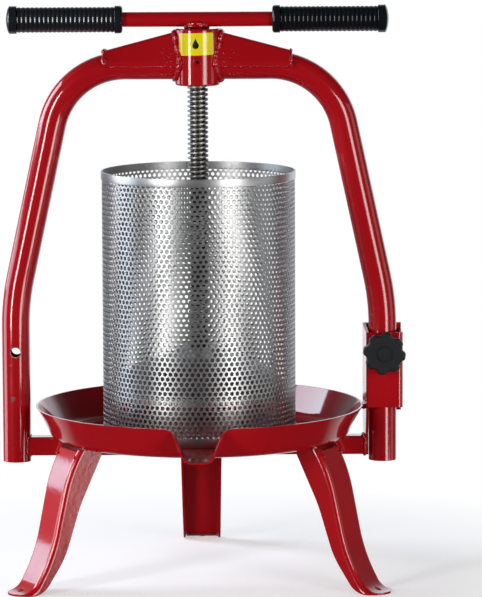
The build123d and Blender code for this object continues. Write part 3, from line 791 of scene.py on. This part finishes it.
def dull_steel(name, light, dark, smoothest, roughest):
    """Plain grey steel, cloudy in colour and gloss."""
    def colour(tree):
        return blend(tree, cloudy(tree, waves=70.0, detail=4.0), dark, light)

    def roughness(tree):
        return cloudy(tree, waves=160.0, detail=3.0, low=smoothest, high=roughest)

    made, tree, skin = finish(name, colour, roughness, metallic=1.0)
    bumped(tree, skin, clouds(tree, waves=600.0), depth=0.03 * MM, edge=0.4 * MM)
    return made


def moulded(name, light, dark, smoothest, roughest, grain, depth, edge, shine=0.5, ring=None):
    """Dark rubber or plastic with a fine moulded grain, and a ring of painted shade about the lock's axis if
    named.
    """
    def colour(tree):
        tone = blend(tree, clouds(tree, waves=120.0, detail=3.0), dark, light)
        if ring is None:
            return tone
        from_lock = vectors(tree, "SUBTRACT", on_object(tree), LOCK_PLACE).outputs[0]
        away = length_of(tree, vectors(tree, "CROSS_PRODUCT", from_lock, LOCK_AXIS).outputs[0])
        beside = maths(tree, "ABSOLUTE", maths(tree, "SUBTRACT", away, ring))
        # painted shade: a thin ring round the lock's axis is darkened, standing for the shadow at the edge of
        # the knob's cap
        return blend(tree, spread(tree, beside, *KNOB_RING_EDGE), PAINTED_RING_SHADE, tone)

    def roughness(tree):
        return cloudy(tree, waves=240.0, detail=3.0, low=smoothest, high=roughest)

    made, tree, skin = finish(name, colour, roughness, Specular_IOR_Level=shine)
    bumped(tree, skin, clouds(tree, grain), depth, edge)
    return made


def printed(name, light, dark):
    """Glossy film of the label, a little uneven."""
    def colour(tree):
        return blend(tree, clouds(tree, waves=90.0, detail=3.0), dark, light)

    def roughness(tree):
        return cloudy(tree, waves=150.0, detail=2.0, low=0.30, high=0.40)

    made, tree, skin = finish(name, colour, roughness, Specular_IOR_Level=0.2,
                              Coat_Weight=1.0, Coat_Roughness=0.06)
    bumped(tree, skin, clouds(tree, waves=150.0, detail=1.0), depth=0.015 * MM)
    return made


def on_left_tube(aside, z):
    """A point on the front of the left tube, so far to the side of its axis."""
    return (-ARCH_X + aside, -sqrt(TUBE_R ** 2 - aside ** 2), z)


# Chips in the left tube's coat: place, radius, stretch along Z and strength
CHIPS = (
    (on_left_tube(-5.4 * MM, 229.5 * MM), 1.1 * MM, 1.0, 0.8),
    (on_left_tube(-3.2 * MM, 193.4 * MM), 2.5 * MM, 1.1, 1.0),
    (on_left_tube(-1.6 * MM, 194.4 * MM), 1.3 * MM, 0.8, 0.9),
    (on_left_tube(-4.4 * MM, 190.4 * MM), 1.0 * MM, 0.8, 0.8),
    (on_left_tube(-5.0 * MM, 210.0 * MM), 1.0 * MM, 12.0, 0.25),
)
red = red_coat("red_coat", peel=0.016 * MM)
red_chipped = red_coat("red_coat_chipped", peel=0.016 * MM, chips=CHIPS)
red_pressed = red_coat("red_coat_pressed", peel=0.06 * MM, waves=230.0, dents=0.10 * MM, haze=0.13)
red_weld = red_coat("red_coat_weld", peel=0.35 * MM, waves=500.0, haze=0.03)
steel = stainless("stainless_steel", STEEL, STEEL_DIM)
sheet_steel = stainless("stainless_sheet", SHEET, SHEET_DIM)
screw = screw_steel()
plate_grey = dull_steel("plate_steel", PLATE_GREY, PLATE_DARK, smoothest=0.38, roughest=0.55)
zinc = dull_steel("zinc_steel", ZINC, ZINC_DARK, smoothest=0.25, roughest=0.4)
rubber = moulded("grip_rubber", RUBBER, RUBBER_DARK, smoothest=0.15, roughest=0.20,
                 grain=1500.0, depth=0.006 * MM, edge=0.3 * MM)
plastic = moulded("knob_plastic", PLASTIC, PLASTIC_DARK, smoothest=0.42, roughest=0.52,
                  grain=1800.0, depth=0.03 * MM, edge=0.6 * MM, shine=0.3, ring=KNOB_RING_R)
yellow = printed("label_yellow", YELLOW, YELLOW_DEEP)
ink = printed("label_ink", INK, INK_DEEP)

SLOT_FINISH = {
    "red_coat": red,
    "stainless_steel": steel,
    "screw_steel": screw,
    "plate_steel": plate_grey,
    "zinc_steel": zinc,
    "grip_rubber": rubber,
    "knob_plastic": plastic,
}
NODE_FINISH = {row["node"]: SLOT_FINISH[row["material_slot"]] for row in frame["record"]["subparts"]}
NODE_FINISH["arch_left_tube"] = red_chipped
for name in LEGS:
    NODE_FINISH[name] = red_pressed


# Basket
perforated = perforated_sheet(BASKET_R, BASKET_SHEET, basket_low.z, basket_high.z, FIRST_HOLES_Z, HOLE_ROWS)
piece("basket_perforated_wall", *perforated, sheet_steel, "basket", "stainless_steel", ("basket_wall",),
      crease=30)
band_inner = BASKET_R + BAND_GAP
rim_outer = top_band_high.x
rim = merged([
    band(band_inner, rim_outer, top_band_low.z, top_band_high.z),
    lap(rim_outer, 2 * rim_outer - band_inner, top_band_low.z, top_band_high.z, LAP_START, LAP_END),
])
piece("basket_rim", *rim, steel, "basket", "stainless_steel", ("basket_top_band",))
foot = band(band_inner, foot_band_high.x, foot_band_low.z, foot_band_high.z)
piece("basket_foot", *foot, steel, "basket", "stainless_steel", ("basket_bottom_band",))

# Screw and stud
screw_skin = threaded_rod(SCREW_R, SCREW_ROOT_R, SCREW_PITCH, SCREW_SHARES, spindle_low.z, spindle_high.z)
piece("screw_thread", *screw_skin, screw, "spindle", "screw_steel", ("spindle",))
stud_skin = threaded_rod(STUD_R, STUD_ROOT_R, STUD_PITCH, STUD_SHARES, STUD_REAR, STUD_FRONT)
stud_place = Matrix.Translation(LOCK_PLACE) @ LOCK_AXIS.to_track_quat("Z", "Y").to_matrix().to_4x4()
piece("stud_thread", *moved(stud_skin, stud_place), zinc, "lock_knob", "zinc_steel", ("lock_stud",))

# Grips
one_grip = grip_skin(grip_high.x - grip_low.x, BAR_R + GRIP_GAP)
grips = []
for side, name in ((-1, "left_grip"), (1, "right_grip")):
    lie = Matrix.Translation((side * grip_low.x, 0, BAR_Z)) @ Matrix.Rotation(side * pi / 2, 4, "Y")
    skin = moved(one_grip, lie)
    grips.append(piece(name + "_rubber", *skin, rubber, "spindle", "grip_rubber", (name,), crease=50))


# Welds

def mirrored(path):
    """A path carried to the other side of the press."""
    return [(-x, y, z) for x, y, z in path]


def both_sides(half):
    """A path of (y, z) points from its half with y above 0, which runs from the bottom to the top."""
    return half + [(-y, z) for y, z in reversed(half)]


def hub_weld_path():
    """Round the right tube and gusset where they meet the hub."""
    cheek = gusset_high.y - CHEEK_SUNK
    ridge_z = gusset_high.z - RIDGE_SUNK
    half = [(TUBE_R * sin(radians(a)), ARCH_Z - TUBE_R * cos(radians(a))) for a in UNDER_TUBE]
    half += [(cheek, ARCH_Z + CHEEK_FOOT), (cheek, ARCH_Z + GUSSET_EAVE)]
    half += [(RIDGE_HALF + ROOF_OUT, ridge_z - ROOF_DOWN), (RIDGE_HALF - RIDGE_IN, ridge_z)]
    return [(sqrt((HUB_R + HUB_BEAD_OUT) ** 2 - y ** 2), y, z) for y, z in both_sides(half)]


def gusset_end_path():
    """Over the outer end of the right gusset."""
    cheek = gusset_high.y - CHEEK_SUNK
    top = ARCH_Z + TUBE_R + END_BEAD_LIFT
    half = [(cheek, ARCH_Z - END_FOOT), (cheek, ARCH_Z + GUSSET_EAVE)]
    half += [(END_RIDGE_HALF, top), (END_RIDGE_HALF / 2, top)]
    return [(gusset_high.x + END_BEAD_OUT, y, z) for y, z in both_sides(half)]


def seams():
    """Thin beads along the gussets' lower edges, in front of the tube and behind it."""
    made = []
    z = ARCH_Z - SEAM_DOWN
    for y in (-TUBE_R - SEAM_OUT, TUBE_R + SEAM_OUT):
        path = [(HUB_R - SEAM_IN, y, z), (gusset_high.x - SEAM_SHORT, y, z)]
        for side, seam in enumerate((path, mirrored(path))):
            made.append(bead(seam, SEAM_R, seed=5.0 * side + y / MM))
    return made


def spatter(side, names):
    """Drops of weld on the front of the nodes named, scattered by steps that don't line up."""
    skins = [skin_of(name) for name in names]
    drops = []
    for k in range(SPATTER):
        across, up, more = [k * step % 1 for step in SPATTER_STEPS]
        x = side * (HUB_R + SPATTER_NEAR + SPATTER_WIDTH * across)
        z = ARCH_Z - SPATTER_DOWN + SPATTER_HEIGHT * up
        hits = [skin.ray_cast(Vector((x, SPATTER_FROM_Y, z)), Vector((0, 1, 0)))[0] for skin in skins]
        spot = min((hit for hit in hits if hit), key=lambda hit: hit.y)
        size = SPATTER_R + SPATTER_MORE_R * more
        drops.append(blob(spot, (size, size, size), seed=k + 20.0 * side, rings=6, columns=8))
    return drops


def arch_welds():
    """All the welds of hub, arch tubes and gussets."""
    right_hub, right_end = hub_weld_path(), gusset_end_path()
    return merged([
        bead(right_hub, HUB_BEAD_R, closed=True, seed=3.0),
        bead(mirrored(right_hub), HUB_BEAD_R, closed=True, seed=11.0),
        *seams(),
        bead(right_end, RIGHT_END_BEAD_R, seed=1.0),
        bead(mirrored(right_end), LEFT_END_BEAD_R, seed=6.0),
        *spatter(-1, ("left_gusset", "arch_left_tube")),
        *spatter(1, ("right_gusset", "arch_right_tube")),
    ])


def crossbar_welds():
    """Beads round the crossbar at the left tube and at the bracket's wall, and a tack on that wall."""
    half = (crossbar_high.y - crossbar_low.y) / 2
    middle = Vector((0, 0, (crossbar_high.z + crossbar_low.z) / 2))
    section = square_section(half, middle.z, CROSSBAR_EDGE_R)
    left_end = [(-ARCH_X + sqrt(TUBE_R ** 2 - y ** 2) + LEFT_BEAD_OUT, y, z) for y, z in section]
    bracket = skin_of("arch_bracket")
    right_end = []
    for y, z in section:
        inside = middle.lerp(Vector((0, y, z)), SECTION_INSET)
        wall = bracket.ray_cast(inside, Vector((1, 0, 0)))[0]
        right_end.append((wall.x - RIGHT_BEAD_OUT, y, z))
    tack = (right_end[0][0], BAR_TACK_IN - half, crossbar_high.z)
    return [
        bead(left_end, LEFT_BEAD_R, closed=True, seed=2.0),
        bead(right_end, RIGHT_BEAD_R, closed=True, seed=5.0),
        blob(tack, BAR_TACK, seed=9.0),
    ]


def tray_tack():
    """The tack between the tray's rim and the bracket."""
    rim_end = Vector((tray_high.x, 0, tray_high.z))
    return blob(rim_end + Vector(TRAY_TACK_PLACE), TRAY_TACK, seed=3.0)


def leg_tacks():
    """Tacks at both edges of each leg, under the tray."""
    tacks = []
    aside = rear_leg_high.x - LEG_TACK_IN
    for turn, name in enumerate(LEGS):
        place = Matrix.Rotation(FIRST_LEG_TURN + tau / len(LEGS) * turn, 4, "Z")
        leg = skin_of(name)
        for end in (-1, 1):
            spot = leg.find_nearest(place @ Vector((tray_high.x, end * aside, tray_low.z)))[0]
            tacks.append(blob(spot, LEG_TACK, seed=turn * 7.0 + end))
    return tacks


def handle_weld():
    """The bead between the screw's end and the handle bar."""
    under_bar = BAR_Z - BAR_R
    loop = []
    for k in range(HANDLE_STEPS):
        angle = tau * k / HANDLE_STEPS
        x = HANDLE_LOOP_X * cos(angle) + HANDLE_ASIDE
        climb = HANDLE_CLIMB * abs(sin(angle))
        loop.append((x, HANDLE_LOOP_Y * sin(angle), under_bar + climb))
    front = (HANDLE_ASIDE, HANDLE_BLOB_Y, under_bar + HANDLE_BLOB_LIFT)
    return merged([bead(loop, HANDLE_BEAD_R, closed=True, seed=1.0), blob(front, HANDLE_BLOB, seed=2.0)])


base_welds = merged([*crossbar_welds(), tray_tack(), *leg_tacks()])
piece("arch_welds", *arch_welds(), red_weld, "frame", "red_coat", crease=WELD_CREASE)
piece("base_welds", *base_welds, red_weld, "frame", "red_coat", crease=WELD_CREASE)
piece("handle_weld", *handle_weld(), red_weld, "spindle", "red_coat", crease=WELD_CREASE)


# Oil hole and label

def oil_port():
    """The lip round the oil hole, laid on the hub's front."""
    rows = []
    for r, lift in OIL_PORT:
        out = HUB_R + lift
        ring = []
        for k in range(PORT_STEPS):
            angle = tau * k / PORT_STEPS
            turn = r * cos(angle) / HUB_R - pi / 2
            ring.append((out * cos(turn), out * sin(turn), OIL_HOLE_Z + r * sin(angle)))
        rows.append(ring)
    return grid(rows)


def on_hub(u, v, lift):
    """A point of the label, across and up from its middle, laid on the hub's front."""
    across = LABEL_ASIDE + u * cos(LABEL_TILT) - v * sin(LABEL_TILT)
    up = u * sin(LABEL_TILT) + v * cos(LABEL_TILT)
    r = HUB_R + lift
    angle = -pi / 2 + across / HUB_R
    return (r * cos(angle), r * sin(angle), LABEL_Z + up)


def label_rows(lift, rows=24, columns=32):
    """Rows of points over the label, which has round corners."""
    found = []
    half_w, half_h = LABEL_WIDTH / 2, LABEL_HEIGHT / 2
    for k in range(rows + 1):
        v = half_h * (2 * smooth_step(k / rows) - 1)
        over = max(abs(v) - (half_h - LABEL_CORNER), 0.0)
        half = half_w - LABEL_CORNER + sqrt(max(LABEL_CORNER ** 2 - over ** 2, 0.0))
        found.append([on_hub(half * (2 * j / columns - 1), v, lift) for j in range(columns + 1)])
    return found


def drop_outline(steps=40):
    """(across, up) points of an oil drop with its tip at the top."""
    found = []
    for k in range(steps):
        angle = tau * k / steps
        pull = max(cos(angle), 0.0) ** DROP_PULL_POWER
        up = DROP_R * cos(angle) + (DROP_HEIGHT - 2 * DROP_R) * pull
        found.append((DROP_R * sin(angle) * (1 - DROP_NARROWING * pull), up - DROP_DOWN))
    return found


def drop_rows(lift):
    """Rows of points over the drop, from its outline inward."""
    return [[on_hub(u * share, v * share, lift) for u, v in drop_outline()] for share in DROP_RINGS]


piece("oil_port_lip", *oil_port(), red, "frame", "red_coat")
label = piece("hub_label", *grid(label_rows(LABEL_THICKNESS), round_rows=False), yellow, "frame")
piece("hub_label_drop", *grid(drop_rows(LABEL_THICKNESS + DROP_LIFT)), ink, "frame")


# Finishes of the solids that stay
for name, node in frame["nodes"].items():
    if node.hide_render:
        continue
    node.data.materials.clear()
    node.data.materials.append(NODE_FINISH[name])


# Stage

def floor_finish():
    """White with a soft shadow for the camera, grey for bounced light, and open or glowing in reflections."""
    material = bpy.data.materials.new("floor")
    material.use_nodes = True
    tree = material.node_tree
    tree.nodes.remove(tree.nodes["Principled BSDF"])
    away = length_of(tree, on_object(tree))
    lit = add(tree, "AddShader")
    tree.links.new(add(tree, "BsdfDiffuse", Color=FLOOR_PALE).outputs[0], lit.inputs[0])
    tree.links.new(add(tree, "Emission", Color=WHITE, Strength=FLOOR_LIFT).outputs[0], lit.inputs[1])
    white = add(tree, "Emission", Color=WHITE, Strength=1.0).outputs[0]
    shown = mixed(tree, spread(tree, away, FLOOR_FADE, FLOOR_R), lit.outputs[0], white)
    bounce = add(tree, "BsdfDiffuse", Color=FLOOR_BOUNCE).outputs[0]
    # painted reflection: reflected rays see the floor open, but glowing in a patch behind the press
    behind = spread(tree, add(tree, "SeparateXYZ", Vector=on_object(tree)).outputs["Y"], *GLOW_BACK)
    glow_patch = maths(tree, "MULTIPLY", behind, spread(tree, away, *GLOW_AWAY))
    glow = add(tree, "Emission", Color=WHITE, Strength=FLOOR_GLOW).outputs[0]
    reflected = mixed(tree, glow_patch, add(tree, "BsdfTransparent").outputs[0], glow)
    path = add(tree, "LightPath").outputs
    unseen = mixed(tree, path["Is Glossy Ray"], bounce, reflected)
    both = mixed(tree, path["Is Camera Ray"], unseen, shown)
    tree.links.new(both, tree.nodes["Material Output"].inputs["Surface"])
    return material


def disc_floor():
    """Pale floor that keeps the shadow near the object and fades to white further out."""
    rings = [(FLOOR_PIN_R, 0.0), (FLOOR_R / 2, 0.0), (FLOOR_R, 0.0)]
    mesh = bpy.data.meshes.new("floor")
    points, faces = grid(turned(rings, FLOOR_STEPS))
    mesh.from_pydata(points, [], faces)
    mesh.materials.append(floor_finish())
    floor = bpy.data.objects.new("floor", mesh)
    bpy.context.scene.collection.objects.link(floor)


def studio():
    """White for the camera; light and reflections see a white wall at the rear and a dim room in front."""
    world = bpy.data.worlds.new("studio")
    bpy.context.scene.world = world
    world.use_nodes = True
    tree = world.node_tree
    way = add(tree, "SeparateXYZ", Vector=add(tree, "TexCoord").outputs["Generated"]).outputs
    room = spread(tree, way["Y"], *ROOM_REAR, *ROOM_LEVELS)
    to_right = maths(tree, "MULTIPLY", way["X"], WALL_LEAN)
    wall = spread(tree, maths(tree, "ADD", way["Y"], to_right), *WALL_REAR)
    grey = add(tree, "VectorMath", {"operation": "SCALE"}, Scale=maths(tree, "ADD", room, wall))
    grey.inputs[0].default_value = WALL_TINT
    path = add(tree, "LightPath").outputs["Is Camera Ray"]
    joined(tree, blend(tree, path, grey.outputs[0], WHITE), tree.nodes["Background"].inputs["Color"])


def softbox(name, azimuth, distance, low, high, width, radiance, tint):
    """A tall lamp that faces the object's axis."""
    lamp = bpy.data.lights.new(name, "AREA")
    lamp.shape = "RECTANGLE"
    lamp.size = width
    lamp.size_y = high - low
    lamp.energy = radiance * pi * width * (high - low)
    lamp.color = tint
    made = bpy.data.objects.new(name, lamp)
    place = Vector((sin(radians(azimuth)) * distance, -cos(radians(azimuth)) * distance, (low + high) / 2))
    made.location = place
    made.rotation_euler = Vector((-place.x, -place.y, 0)).to_track_quat("-Z", "Y").to_euler()
    made.visible_camera = False
    bpy.context.scene.collection.objects.link(made)
    return made


def linked(lamp, state, things):
    """Makes a lamp light only the things listed, or all but them, by the state given."""
    receivers = bpy.data.collections.new(lamp.name + "_receivers")
    for thing in things:
        receivers.objects.link(thing)
    for listed in receivers.collection_objects:
        listed.light_linking.link_state = state
    lamp.light_linking.receiver_collection = receivers


disc_floor()
studio()
lamps = {name: softbox(name, *row) for name, row in LAMPS.items()}
right_tube = frame["nodes"]["arch_right_tube"]
linked(lamps["key_left"], "EXCLUDE", [right_tube, grips[1]])
linked(lamps["key_left_broad"], "INCLUDE", [right_tube, *grips])
linked(lamps["wash_left"], "INCLUDE", [frame["nodes"]["front_left_leg"]])
linked(lamps["fill_right"], "EXCLUDE", grips)
linked(lamps["fill_halo"], "EXCLUDE", grips)
linked(lamps["panel_left"], "EXCLUDE", [label])

# Camera
camera_data = bpy.data.cameras.new("photo_camera")
camera_data.lens = CAMERA_LENS
camera_data.clip_end = CAMERA_FAR
camera = bpy.data.objects.new("photo_camera", camera_data)
pitched = Matrix.Rotation(pi / 2 - CAMERA_PITCH, 4, "X")
camera.matrix_world = Matrix.Translation(CAMERA_PLACE) @ pitched @ Matrix.Rotation(CAMERA_ROLL, 4, "Z")
bpy.context.scene.collection.objects.link(camera)
bpy.context.scene.camera = camera
bpy.context.scene.view_settings.view_transform = "Standard"
